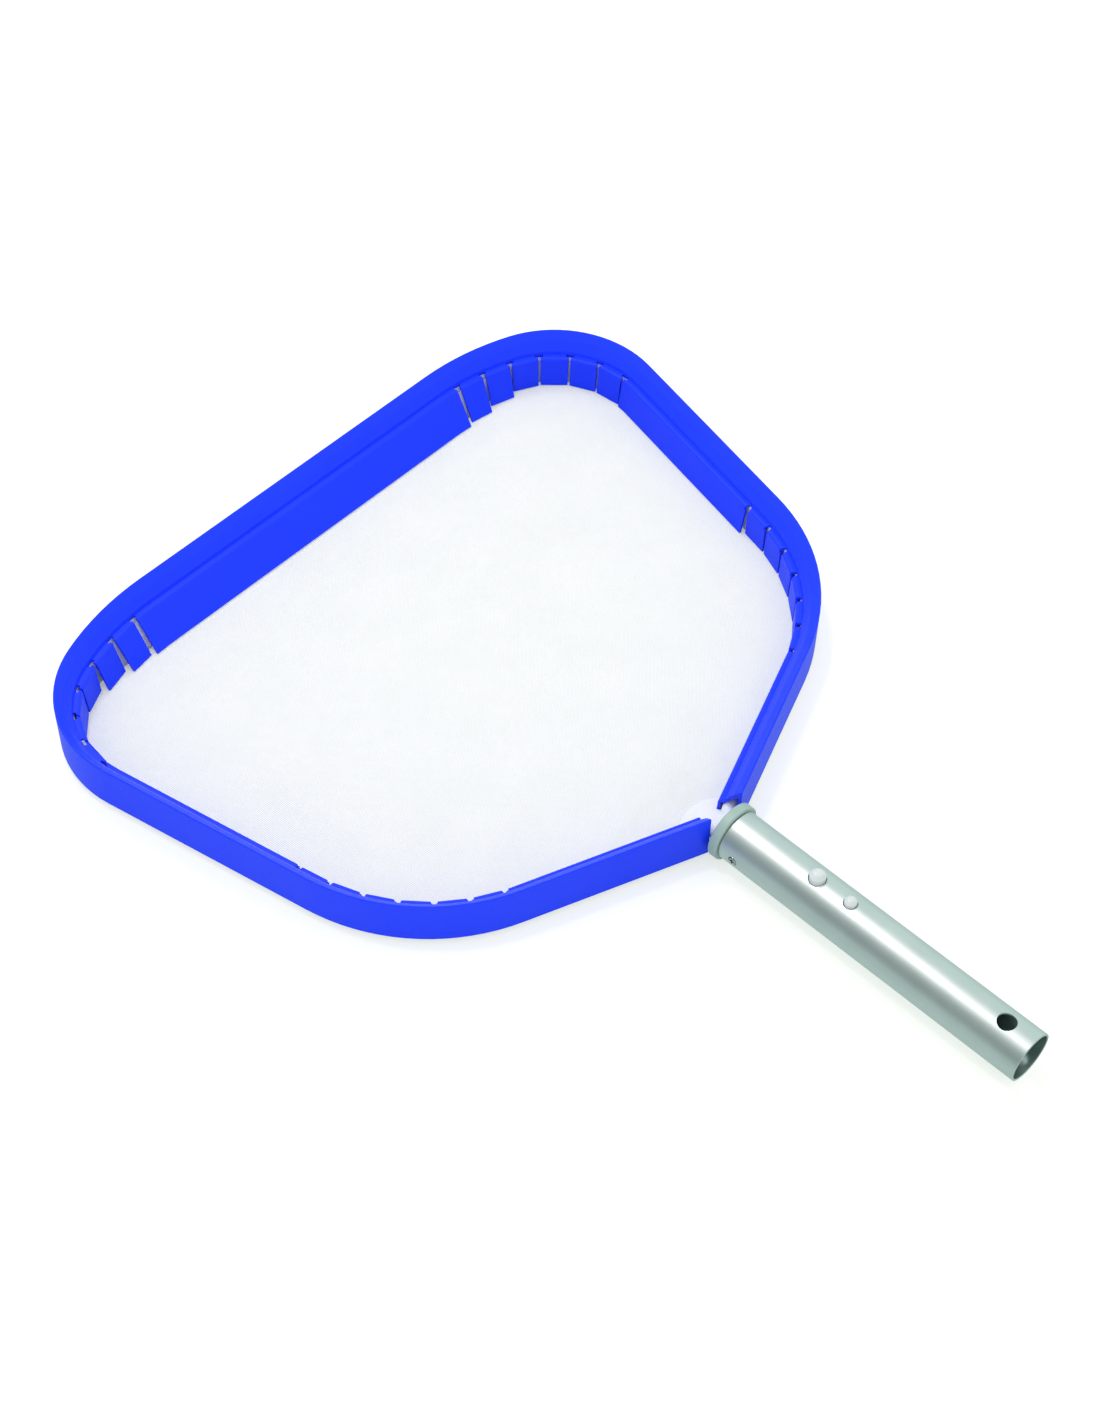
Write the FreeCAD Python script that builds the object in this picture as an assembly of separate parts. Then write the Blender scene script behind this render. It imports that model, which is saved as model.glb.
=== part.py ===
import FreeCAD, Part
import math
import os
from dataclasses import dataclass
from FreeCAD import Placement, Rotation, Vector

# Leaf skimmer net: a flat mesh stretched on a bent rod hoop, dressed with a slotted
# plastic rim, and a straight tube handle with two sprung lock buttons.
# Millimetres. +Z is up, the front edge of the head faces +Y, the handle's mouth faces -Y,
# the head lies flat on the floor at z = 0, and the origin is half way along the object.

# Handle tube
tube_diameter = 28.6
tube_wall = 1.3
tube_length = 190.8
tube_edge_round = 0.35
collar_gap = 0.35

# Collar: a ring as wide as the tube and a lip, with a plug inside the tube
collar_lip = 2.1
collar_thickness = 5.5
collar_round = 0.9
collar_floor_gap = 0.4
plug_length = 32.0
plug_clearance = 0.05
plug_edge_round = 1.0

# Head, measured on the rim's outer shoulder
head_length = 343.0
side_half_width = 171.8
side_taper = 12.48
rear_slope = 21.18
rear_apex_gap = 2.5
front_bend_radius = 163.2
front_bend_turn = 21.43
front_corner_radius = 66.5
rear_corner_radius = 118.4

# Hoop rod: it runs round the head inside the rim, and its two legs stand in the collar
rod_diameter = 6.4
leg_web = 5.6
leg_bend_inner_radius = 3.3
leg_depth = 29.0
leg_clearance = 0.2

# Hem: the net's edge, a sleeve round the rod with a skirt down to the net
hem_clearance = 0.1
hem_skin = 0.5
apex_roll_radius = 3.6
skirt_setback = 1.9

# Rim section: its channel takes the rod in its sleeve
rim_wall = 2.1
rim_top_skin = 1.9
rim_top_slope = 50.68
channel_side_gap = 0.3
channel_top_gap = 0.65
flange_gap = 1.2
wall_bottom = 4.5
shoulder_round = 0.6
top_hump = 0.6
top_hump_round = 9.0
groove_setback = 3.8
groove_width = 0.5
ledge_height = 21.5
ledge_skin = 1.6
ledge_setback = 1.8
tab_overlap = 1.4
fold_round = 1.8
fold_inner_round = 0.4
snap_lip_reach = 2.5
snap_lip_gap = 0.2
snap_lip_thickness = 1.1
snap_lip_ramp = 0.77
rim_end_gap = 2.3

# Flange and its tabs, from the middle of the front edge to the rim's end
flange_skin = 1.4
flange_bottom = 0.9
flange_edge_round = 0.35
front_flange_lean = 13.2
front_tab_leans = (10.8, 6.4, 1.8, 1.4, 1.5, 1.7)
side_flange_lean = 3.0
rear_flange_lean = 0.3
slots_per_corner = 7
slot_pitch = 18.8
front_slot_shift = 3.3
rear_slot_shift = -8.1
front_slot_widths = (2.9, 2.5, 2.0, 1.4, 1.3, 1.4, 1.6)
rear_slot_width = 2.0
rear_notch_width = 4.0
rear_notch_root_width = 2.2
rear_notch_depth = 3.0
slot_head_length = 4.8
slot_head_width = 1.8
slot_head_setback = 2.5
slot_reach = 20.0
slot_cut_height = 8.0

# Net
net_thickness = 0.6
net_margin = 0.3
net_border = 8.0
net_pitch = 19.6
net_thread = 1.2
net_least_gap = 0.08

# Side screws, with cross slots and heads sunk into the tube's wall
screw_setback = 9.9
screw_shank_diameter = 3.5
screw_head_diameter = 4.8
screw_head_rise = 0.3
screw_head_round = 0.6
screw_edge_round = 0.2
screw_tip_round = 0.6
screw_head_gap = 0.3
screw_seat_depth = 0.75
screw_slot_width = 0.8
screw_slot_depth = 1.2
screw_slot_share = 0.7
screw_bite = 0.3
screw_clearance = 0.05

# Lock buttons
large_button_diameter = 8.9
large_button_rise = 5.0
small_button_diameter = 6.8
small_button_rise = 3.2
button_spacing = 21.7
button_shoulder_lip = 1.75
button_clearance = 0.5
button_shoulder_thickness = 1.4
button_seat_gap = 0.1
button_side_share = 0.5
button_side_round_share = 0.28
button_top_share = 0.52
button_top_round_share = 0.5
button_edge_round = 0.2
stem_diameter = 3.2
stem_head_diameter = 5.0
stem_head_height = 1.0
stem_head_round = 0.4
stem_clearance = 0.1

# Spring clips
clip_skin = 0.7
clip_width = 9.0
clip_tip = 6.5
clip_leg_length = 18.0
clip_seat_gap = 0.1
clip_throat = 10.0
clip_end_gap = 0.5

# Lock hole near the mouth
lock_hole_station = 17.0
lock_hole_diameter = 10.3

UP = Vector(0, 0, 1)
tube_radius = tube_diameter / 2
bore_radius = tube_radius - tube_wall
collar_radius = tube_radius + collar_lip
plug_radius = bore_radius - plug_clearance
tube_axis_height = collar_radius + collar_floor_gap
overall_length = tube_length + head_length
front_y = overall_length / 2
mouth_y = -overall_length / 2
joint_y = mouth_y + tube_length
collar_y = joint_y + collar_thickness
apex_y = collar_y - rear_apex_gap
plug_end_y = joint_y - plug_length
screw_y = joint_y - screw_setback
rod_radius = rod_diameter / 2
leg_spacing = rod_diameter + leg_web
leg_bend_radius = rod_radius + leg_bend_inner_radius
sleeve_radius = rod_radius + hem_clearance + hem_skin
rod_inset = rim_wall + channel_side_gap + sleeve_radius
fold_inset = rod_inset + sleeve_radius + flange_gap + flange_skin
groove_inset = fold_inset - groove_setback
ledge_inset = fold_inset - ledge_setback
slot_head_inset = fold_inset - slot_head_setback
ledge_floor = ledge_height - ledge_skin
skirt_inset = fold_inset - skirt_setback
net_inset = skirt_inset - net_margin
rim_end_inset = leg_spacing / 2 + sleeve_radius + rim_end_gap


@dataclass(frozen=True)
class Run:
    """One straight or round stretch of the rim's outer shoulder, seen from above.

    The heading is in degrees, clockwise from +X. A positive radius bends to the right,
    which is the inside of the head, and a zero radius is a straight stretch.
    """

    start: Vector
    heading: float
    length: float = 0.0
    radius: float = 0.0
    turn: float = 0.0

    def length_at(self, inset):
        """Length of the line that runs at this inset."""
        if self.radius:
            return abs((self.radius - inset) * math.radians(self.turn))
        return self.length

    def at(self, share):
        """Point and heading a share of the way along."""
        if not self.radius:
            angle = math.radians(self.heading)
            step = Vector(math.cos(angle), -math.sin(angle), 0) * (self.length * share)
            return self.start + step, self.heading
        heading = self.heading + self.turn * share
        centre = self.start + inward(self.heading) * self.radius
        return centre - inward(heading) * self.radius, heading

    def cut(self, first, last):
        """The stretch between two shares of the way along."""
        start, heading = self.at(first)
        share = last - first
        return Run(start, heading, self.length * share, self.radius, self.turn * share)

    def end(self):
        """Point at the far end."""
        return self.at(1.0)[0]


def inward(heading):
    """Unit vector to the inside of the head for a heading."""
    angle = math.radians(heading)
    return Vector(-math.sin(angle), -math.cos(angle), 0)


def placed(shape, point, heading):
    """Put a shape drawn with x inward and y forward at a point of the rim's line."""
    moved = shape.copy()
    moved.Placement = Placement(point, Rotation(UP, -(90 + heading)))
    return moved


def outline_face(corners):
    """Face in the XZ plane from (x, z, rounding radius) corners, in order."""
    points = [Vector(x, 0, z) for x, z, _ in corners]
    entries = []
    for index, (_, _, radius) in enumerate(corners):
        corner = points[index]
        back = (points[index - 1] - corner).normalize()
        ahead = (points[(index + 1) % len(points)] - corner).normalize()
        if not radius:
            entries.append((corner, None, corner))
            continue
        half = back.getAngle(ahead) / 2
        trim = radius / math.tan(half)
        middle = (back + ahead).normalize() * (radius / math.sin(half) - radius)
        entries.append((corner + back * trim, corner + middle, corner + ahead * trim))
    edges = []
    for index, (_, _, leave) in enumerate(entries):
        enter, through, away = entries[(index + 1) % len(entries)]
        if (enter - leave).Length > 1e-6:
            edges.append(Part.LineSegment(leave, enter).toShape())
        if through is not None:
            edges.append(Part.Arc(enter, through, away).toShape())
    return Part.Face(Part.Wire(Part.__sortEdges__(edges)))


def swept(run, face):
    """Carry a section along one run."""
    if run.radius:
        solid = face.revolve(Vector(run.radius, 0, 0), UP, -run.turn)
    else:
        solid = face.extrude(Vector(0, run.length, 0))
    return placed(solid, run.start, run.heading)


def joined(shapes):
    """Fuse shapes into one."""
    return shapes[0].multiFuse(shapes[1:]).removeSplitter()


def mirrored(shape):
    """The same shape on the other side of the handle's axis."""
    return shape.mirror(Vector(0, 0, 0), Vector(1, 0, 0))


def both_sides(shape):
    """A right half fused with its mirror image."""
    return joined([shape, mirrored(shape)])


def rod(radius, length, base, direction):
    """Round bar from a base point."""
    return Part.makeCylinder(radius, length, base, direction)


def block(size, centre):
    """Box given by its size and centre."""
    return Part.makeBox(size.x, size.y, size.z, centre - size * 0.5)


def rear_heading():
    """Heading of the straight rear edge on the right."""
    return 180 - rear_slope


def rim_runs():
    """Right half of the outer shoulder, from the middle of the front edge to the apex."""
    first = math.radians(front_bend_turn)
    side_heading = 90 + side_taper
    whole = math.radians(side_heading)
    corner_turn = side_heading - front_bend_turn
    out = front_bend_radius * math.sin(first)
    out += front_corner_radius * (math.sin(whole) - math.sin(first))
    back = front_bend_radius * (1 - math.cos(first))
    back += front_corner_radius * (math.cos(first) - math.cos(whole))
    taper = math.tan(math.radians(side_taper))
    corner_y = front_y - back
    bend_x = side_half_width + taper * corner_y - out
    front = Run(Vector(0, front_y, 0), 0, bend_x)
    bend = Run(front.end(), 0, 0, front_bend_radius, front_bend_turn)
    corner = Run(bend.end(), front_bend_turn, 0, front_corner_radius, corner_turn)

    rear_rise = math.tan(math.radians(rear_slope))
    meet_y = (apex_y + rear_rise * side_half_width) / (1 - rear_rise * taper)
    meet = Vector(side_half_width + taper * meet_y, meet_y, 0)
    rear_turn = rear_heading() - side_heading
    trim = rear_corner_radius * math.tan(math.radians(rear_turn / 2))
    side_length = (meet - corner.end()).Length - trim
    side = Run(corner.end(), side_heading, side_length)
    rear_corner = Run(side.end(), side_heading, 0, rear_corner_radius, rear_turn)
    rear_length = rear_corner.end().x / math.cos(math.radians(rear_slope))
    rear = Run(rear_corner.end(), rear_heading(), rear_length)
    return [front, bend, corner, side, rear_corner, rear]


def shortened(runs, left_over):
    """The same runs, with the last one stopped at this distance from the middle plane."""
    last = runs[-1]
    share = 1 - left_over / math.cos(math.radians(rear_slope)) / last.length
    return runs[:-1] + [last.cut(0, share)]


def between(runs, first, last, inset):
    """The pieces of the runs between two lengths measured at an inset."""
    pieces = []
    passed = 0.0
    for run in runs:
        length = run.length_at(inset)
        low = max(first - passed, 0) / length
        high = min(last - passed, length) / length
        if high - low > 1e-6:
            pieces.append(run.cut(low, high))
        passed += length
    return pieces


def slot_stations(runs):
    """Length along the slots' heads of each slot, and the slot's width."""
    lengths = [run.length_at(slot_head_inset) for run in runs]
    front_middle = lengths[0] + (lengths[1] + lengths[2]) / 2 + front_slot_shift
    rear_middle = sum(lengths[:4]) + lengths[4] / 2 + rear_slot_shift
    stations = []
    for index in range(slots_per_corner):
        offset = (index - (slots_per_corner - 1) / 2) * slot_pitch
        stations.append((front_middle + offset, front_slot_widths[index]))
        stations.append((rear_middle + offset, rear_slot_width))
    return sorted(stations)


def rim_body_face():
    """Section of the rim without its tabs: outer wall, sloped top, groove, ledge, snap lip."""
    angle = math.radians(rim_top_slope)
    slope = Vector(math.cos(angle), 0, -math.sin(angle))
    outward = Vector(math.sin(angle), 0, math.cos(angle))
    rod_centre = Vector(rod_inset, 0, tube_axis_height)
    skin_centre = rod_centre + outward * (sleeve_radius + channel_top_gap + rim_top_skin)

    def on_top(inset):
        return skin_centre + slope * ((inset - skin_centre.x) / slope.x)

    shoulder = on_top(0)
    hump = on_top(groove_inset / 2) + outward * top_hump
    groove = on_top(groove_inset)
    under_groove = groove - outward * rim_top_skin
    under_shoulder = under_groove - slope * ((under_groove.x - rim_wall) / slope.x)
    lip_top = tube_axis_height - sleeve_radius - snap_lip_gap
    lip_tip = rim_wall + snap_lip_reach
    fillet = shoulder_round
    return outline_face([
        (0, wall_bottom, fillet),
        (0, shoulder.z, fillet),
        (hump.x, hump.z, top_hump_round),
        (groove_inset, groove.z, fillet),
        (groove_inset + groove_width, ledge_height, groove_width / 2),
        (ledge_inset, ledge_height, 0),
        (ledge_inset, ledge_floor, 0),
        (groove_inset + groove_width / 2, ledge_floor, fold_inner_round),
        (under_groove.x, under_groove.z, fillet),
        (under_shoulder.x, under_shoulder.z, fillet),
        (rim_wall, lip_top, snap_lip_ramp / 2),
        (lip_tip, lip_top - snap_lip_ramp, snap_lip_ramp / 2),
        (lip_tip, lip_top - snap_lip_ramp - snap_lip_thickness, snap_lip_ramp / 2),
        (rim_wall, lip_top - 3 * snap_lip_thickness, snap_lip_ramp / 2),
        (rim_wall, wall_bottom, fillet),
    ])


def flange_face(lean):
    """Section of the ledge's edge, the fold and the flange, which leans inward by this much."""
    drop = ledge_height - flange_bottom
    across = flange_skin * math.hypot(lean, drop) / drop
    root = ledge_inset - tab_overlap
    return outline_face([
        (root, ledge_height, 0),
        (fold_inset, ledge_height, fold_round),
        (fold_inset + lean, flange_bottom, flange_edge_round),
        (fold_inset + lean - across, flange_bottom, flange_edge_round),
        (fold_inset - across + lean * ledge_skin / drop, ledge_floor, fold_inner_round),
        (root, ledge_floor, 0),
    ])


def slot_spot(runs, station):
    """Short run that starts at a station along the slots' heads."""
    return between(runs, station, station + 1, slot_head_inset)[0]


def front_slot_head():
    """Cut across the ledge at the outer end of a front slot."""
    size = Vector(slot_head_width, slot_head_length, slot_cut_height)
    return block(size, Vector(slot_head_inset, 0, ledge_height))


def rear_slot_notch():
    """Cut through the ledge of a rear slot, which widens toward the fold."""
    root = rear_notch_root_width / 2
    half = rear_notch_width / 2
    start = slot_head_inset - slot_head_width / 2
    corners = [(start, root), (fold_inset, half), (slot_reach, half)]
    corners += [(inset, -along) for inset, along in reversed(corners)]
    floor = ledge_height - rear_notch_depth
    points = [Vector(inset, along, floor) for inset, along in corners]
    face = Part.Face(Part.makePolygon(points + points[:1]))
    return face.extrude(Vector(0, 0, slot_cut_height))


def flat_tab(runs, first, last, face):
    """Tab that runs straight from the fold at one station to the fold at the next."""
    spots = [slot_spot(runs, station) for station in (first, last)]
    ends = [spot.start + inward(spot.heading) * fold_inset for spot in spots]
    step = ends[1] - ends[0]
    heading = -math.degrees(math.atan2(step.y, step.x))
    return placed(face.extrude(Vector(0, step.Length, 0)), ends[0] - inward(heading) * fold_inset, heading)


def make_rim():
    """Slotted plastic rim, one piece round the whole head."""
    runs = shortened(rim_runs(), rim_end_inset)
    body = rim_body_face()
    solids = [swept(run, body) for run in runs]
    slots = slot_stations(runs)
    stations = [station for station, _ in slots]
    starts = [0.0] + stations
    ends = stations + [sum(run.length_at(slot_head_inset) for run in runs)]
    leans = [front_flange_lean, *front_tab_leans, side_flange_lean] + [rear_flange_lean] * slots_per_corner
    for index, (start, end, lean) in enumerate(zip(starts, ends, leans)):
        face = flange_face(lean)
        if index % slots_per_corner:
            solids.append(flat_tab(runs, start, end, face))
        else:
            solids += [swept(run, face) for run in between(runs, start, end, slot_head_inset)]
    half = joined(solids)
    cuts = []
    for index, (station, width) in enumerate(slots):
        spot = slot_spot(runs, station)
        head = front_slot_head() if index < slots_per_corner else rear_slot_notch()
        cuts.append(placed(head, spot.start, spot.heading))
        stem = Vector(slot_reach, width, slot_cut_height + ledge_height)
        middle = Vector(slot_head_inset + slot_reach / 2, 0, ledge_height / 2)
        cuts.append(placed(block(stem, middle), spot.start, spot.heading))
    return both_sides(half.cut(cuts))


def hoop_runs():
    """Right half of the rod's centre line: round the head, then the bend into the collar."""
    runs = []
    for run in rim_runs():
        radius = run.radius - rod_inset if run.radius else 0.0
        start = run.start + inward(run.heading) * rod_inset
        runs.append(Run(start, run.heading, run.length, radius, run.turn))
    rear = runs[-1]
    bend_turn = 90 - rear_slope
    trim = leg_bend_radius * math.tan(math.radians(bend_turn / 2))
    reach = (rear.start.x - leg_spacing / 2) / math.cos(math.radians(rear_slope)) - trim
    runs[-1] = Run(rear.start, rear.heading, reach)
    bend = Run(runs[-1].end(), rear.heading, 0, -leg_bend_radius, -bend_turn)
    leg = Run(bend.end(), 90, bend.end().y - collar_y)
    return runs + [bend, leg]


def ring_face(outer, inner):
    """Round or hollow round section at the height of the tube's axis."""
    centre = Vector(0, 0, tube_axis_height)
    face = Part.Face(Part.Wire(Part.makeCircle(outer, centre, Vector(0, 1, 0))))
    if inner:
        face = face.cut(Part.Face(Part.Wire(Part.makeCircle(inner, centre, Vector(0, 1, 0))))).Faces[0]
    return face


def make_hoop():
    """Bent rod that carries the head, with two straight legs that stand in the collar."""
    runs = hoop_runs()
    leg = runs[-1]
    runs[-1] = Run(leg.start, leg.heading, leg.length + leg_depth)
    face = ring_face(rod_radius, 0)
    hoop = both_sides(joined([swept(run, face) for run in runs]))
    return hoop.cut(screw_holes())


def make_hem():
    """Doubled edge of the net: a sleeve round the rod, a skirt behind the flange, an apex roll."""
    sleeve = ring_face(sleeve_radius, sleeve_radius - hem_skin)
    runs = hoop_runs()
    leg = runs[-1]
    runs[-1] = Run(leg.start, leg.heading, leg.length - hem_clearance)
    solids = [swept(run, sleeve) for run in runs]
    top_inset = rod_inset + sleeve_radius - hem_skin / 2
    skirt = outline_face([
        (top_inset, tube_axis_height, 0),
        (skirt_inset + hem_skin, net_thickness, 0),
        (skirt_inset, net_thickness, 0),
        (top_inset - hem_skin, tube_axis_height - 2 * hem_skin, 0),
    ])
    solids += [swept(run, skirt) for run in shortened(rim_runs(), rim_end_inset)]
    core = ring_face(sleeve_radius - hem_skin, 0)
    roll_base = Vector(0, collar_y + hem_clearance + apex_roll_radius, tube_axis_height)
    roll = rod(apex_roll_radius, leg_spacing / 2, roll_base, Vector(1, 0, 0))
    solids.append(roll.cut([swept(run, core) for run in runs[-2:]]))
    return both_sides(joined(solids))


def contour(inset):
    """Closed line round the head at an inset from the outer shoulder."""
    edges = []
    for run in rim_runs():
        start, heading = run.at(0)
        middle, middle_heading = run.at(0.5)
        end, end_heading = run.at(1)
        first = start + inward(heading) * inset
        through = middle + inward(middle_heading) * inset
        last = end + inward(end_heading) * inset
        if run.radius:
            edges.append(Part.Arc(first, through, last).toShape())
        else:
            edges.append(Part.LineSegment(first, last).toShape())
    rear = edges[-1]
    start = rear.Vertexes[0].Point
    apex = Vector(0, start.y - start.x * math.tan(math.radians(rear_slope)), 0)
    edges[-1] = Part.LineSegment(start, apex).toShape()
    edges += [mirrored(edge) for edge in edges]
    return Part.Wire(Part.__sortEdges__(edges))


def make_net():
    """Flat net under the flange: one sheet with square gaps on a grid along the head's axes."""
    inside = Part.Face(contour(net_inset + net_border))
    box = inside.BoundBox
    gap = (net_pitch - net_thread) / 2
    columns = int(box.XMax / net_pitch) + 1
    rows = int(box.YLength / net_pitch) + 1
    holes = []
    for row in range(rows):
        for column in range(-columns, columns + 1):
            centre = Vector(column * net_pitch, box.YMax - (row + 0.5) * net_pitch, 0)
            square = Part.makePlane(2 * gap, 2 * gap, centre - Vector(gap, gap, 0))
            for piece in square.common(inside).Faces:
                if piece.Area > net_least_gap * square.Area:
                    holes.append(piece.OuterWire)
    sheet = Part.Face([contour(net_inset)] + holes)
    return sheet.extrude(UP * net_thickness)


def turned(corners, base, direction):
    """Body of revolution from (radius, height, rounding) corners, standing on a base point."""
    solid = outline_face(corners).revolve(Vector(0, 0, 0), UP, 360)
    solid.Placement = Placement(base, Rotation(UP, direction))
    return solid


def on_axis(y):
    """Point on the handle's axis."""
    return Vector(0, y, tube_axis_height)


def side_bores(radius, start_x):
    """Two cross bores of this radius, from this distance off the axis outward."""
    bores = []
    for side in (-1, 1):
        outward = Vector(side, 0, 0)
        bores.append(rod(radius, tube_diameter, on_axis(screw_y) + outward * start_x, outward))
    return bores


def screw_holes():
    """Cross bores for the shanks of the two side screws."""
    tip_x = leg_spacing / 2 - screw_bite
    return side_bores(screw_shank_diameter / 2 + screw_clearance, tip_x - screw_clearance)


def make_collar():
    """Moulded collar: a ring against the tube's end and a plug inside it, with two leg sockets."""
    length = collar_thickness + plug_length
    body = turned([
        (0, 0, 0),
        (collar_radius, 0, collar_round),
        (collar_radius, collar_thickness, collar_round),
        (plug_radius, collar_thickness, 0),
        (plug_radius, length, plug_edge_round),
        (0, length, 0),
    ], on_axis(collar_y), Vector(0, -1, 0))
    socket_radius = rod_radius + leg_clearance
    cuts = screw_holes()
    cuts += side_bores(screw_head_diameter / 2 + screw_head_gap, plug_radius - screw_seat_depth)
    for side in (-1, 1):
        socket = on_axis(collar_y) + Vector(side * leg_spacing / 2, 0, 0)
        cuts.append(rod(socket_radius, leg_depth + leg_clearance, socket, Vector(0, -1, 0)))
    return body.cut(cuts)


def make_tube():
    """Thin aluminium handle tube with its button holes, lock hole and screw holes."""
    tube = turned([
        (bore_radius, 0, tube_edge_round),
        (tube_radius, 0, tube_edge_round),
        (tube_radius, tube_length - collar_gap, tube_edge_round),
        (bore_radius, tube_length - collar_gap, tube_edge_round),
    ], on_axis(mouth_y), Vector(0, 1, 0))
    cuts = side_bores(screw_head_diameter / 2 + screw_head_gap, 0)
    for button in (LARGE_BUTTON, SMALL_BUTTON):
        radius = button.diameter / 2 + button_clearance
        cuts.append(rod(radius, tube_diameter, on_axis(button.y), UP))
    lock_base = on_axis(mouth_y + lock_hole_station) - UP * tube_diameter
    cuts.append(rod(lock_hole_diameter / 2, 2 * tube_diameter, lock_base, UP))
    return tube.cut(cuts)


def make_screws():
    """Two screws through the plug into the hoop's legs, with heads that hold the tube."""
    shank = screw_shank_diameter / 2
    head = screw_head_diameter / 2
    tip_x = leg_spacing / 2 - screw_bite
    seat = plug_radius - screw_seat_depth + screw_clearance - tip_x
    top = tube_radius + screw_head_rise - tip_x
    long_side = 2 * head * screw_slot_share
    screws = []
    for side in (-1, 1):
        outward = Vector(side, 0, 0)
        tip = on_axis(screw_y) + outward * tip_x
        screw = turned([
            (0, 0, 0),
            (shank, 0, screw_tip_round),
            (shank, seat, 0),
            (head, seat, screw_edge_round),
            (head, top, screw_head_round),
            (0, top, 0),
        ], tip, outward)
        slot_centre = tip + outward * (top - screw_slot_depth / 2)
        upright = block(Vector(screw_slot_depth, screw_slot_width, long_side), slot_centre)
        level = block(Vector(screw_slot_depth, long_side, screw_slot_width), slot_centre)
        screws.append(screw.cut([upright, level]))
    return Part.makeCompound(screws)


@dataclass(frozen=True)
class LockButton:
    """Sizes and heights of one lock button and of the clip under it."""

    y: float
    diameter: float
    rise: float

    @property
    def shoulder(self):
        """Radius of the flat shoulder that stops the button in the bore."""
        return self.diameter / 2 + button_shoulder_lip

    @property
    def shoulder_top(self):
        """Height above the axis where the shoulder meets the round bore."""
        return math.sqrt(bore_radius ** 2 - self.shoulder ** 2) - button_seat_gap

    @property
    def clip_top(self):
        """Height above the axis of the clip's upper face."""
        return self.shoulder_top - button_shoulder_thickness - stem_clearance

    @property
    def clip_bottom(self):
        """Height above the axis of the clip's lower face."""
        return clip_seat_gap - math.sqrt(bore_radius ** 2 - (clip_width / 2) ** 2)

    @property
    def clip_radius(self):
        """Outer radius of the clip's round bend."""
        return (self.clip_top - self.clip_bottom) / 2


def lock_buttons():
    """The large button clears the collar's plug with its clip; the small one stands behind it."""
    sizer = LockButton(0, large_button_diameter, large_button_rise)
    large_y = plug_end_y - clip_end_gap - sizer.clip_radius - clip_throat
    large = LockButton(large_y, large_button_diameter, large_button_rise)
    small = LockButton(large_y - button_spacing, small_button_diameter, small_button_rise)
    return large, small


def make_button(button):
    """Domed lock button: head, shoulder inside the bore and stem staked under its clip."""
    head = button.diameter / 2
    stem = stem_diameter / 2
    stake = stem_head_diameter / 2
    seat_z = button.shoulder_top - button_shoulder_thickness
    stake_z = button.clip_top - clip_skin - stem_clearance
    top_z = tube_radius + button.rise
    side_z = tube_radius + button.rise * button_side_share
    return turned([
        (0, stake_z - stem_head_height, 0),
        (stake, stake_z - stem_head_height, stem_head_round),
        (stake, stake_z, 0),
        (stem, stake_z, 0),
        (stem, seat_z, 0),
        (button.shoulder, seat_z, button_edge_round),
        (button.shoulder, button.shoulder_top, button_edge_round),
        (head, button.shoulder_top, 0),
        (head, side_z, head * button_side_round_share),
        (head * button_top_share, top_z, head * button_top_round_share),
        (0, top_z, 0),
    ], on_axis(button.y), UP)


def make_clip(button, toward_head):
    """Bent leaf that presses a button out: an upper leg, a round bend and a lower leg."""
    outer = button.clip_radius
    inner = outer - clip_skin
    middle_z = tube_axis_height + (button.clip_top + button.clip_bottom) / 2
    middle = Vector(0, button.y + toward_head * clip_throat, middle_z)
    start = middle - Vector(clip_width / 2, 0, 0)
    ring = rod(outer, clip_width, start, Vector(1, 0, 0)).cut(rod(inner, clip_width, start, Vector(1, 0, 0)))
    keep = block(Vector(clip_width, outer, 2 * outer), middle + Vector(0, toward_head * outer / 2, 0))
    pieces = [ring.common(keep)]
    leg_height = outer - clip_skin / 2
    for height, length in ((leg_height, clip_throat + clip_tip), (-leg_height, clip_leg_length)):
        size = Vector(clip_width, length, clip_skin)
        pieces.append(block(size, middle + Vector(0, -toward_head * length / 2, height)))
    hole = rod(stem_diameter / 2 + stem_clearance, tube_radius, on_axis(button.y), UP)
    return joined(pieces).cut(hole)


LARGE_BUTTON, SMALL_BUTTON = lock_buttons()


def main():
    """Write one file per piece."""
    os.makedirs("parts", exist_ok=True)
    pieces = {
        "rim_profile": make_rim(),
        "hoop_rod": make_hoop(),
        "net_hem": make_hem(),
        "net_mesh": make_net(),
        "collar_plug": make_collar(),
        "handle_tube": make_tube(),
        "side_screws": make_screws(),
        "large_lock_button": make_button(LARGE_BUTTON),
        "small_lock_button": make_button(SMALL_BUTTON),
        "large_button_clip": make_clip(LARGE_BUTTON, 1),
        "small_button_clip": make_clip(SMALL_BUTTON, -1),
    }
    for name, shape in pieces.items():
        shape.exportStep("parts/" + name + ".step")
        print(name, "solids", len(shape.Solids), "valid", shape.isValid())
    print("gaps in the net", max(len(face.Wires) for face in pieces["net_mesh"].Faces) - 1)


main()
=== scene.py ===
"""Looks of a leaf skimmer net: finishes, woven net, hem, camera, lamps and floor."""

import logging
import math
from dataclasses import dataclass, field
from enum import Enum
from typing import Any, Iterable, Protocol

import bmesh
import bpy
from mathutils import Matrix, Vector


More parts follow.
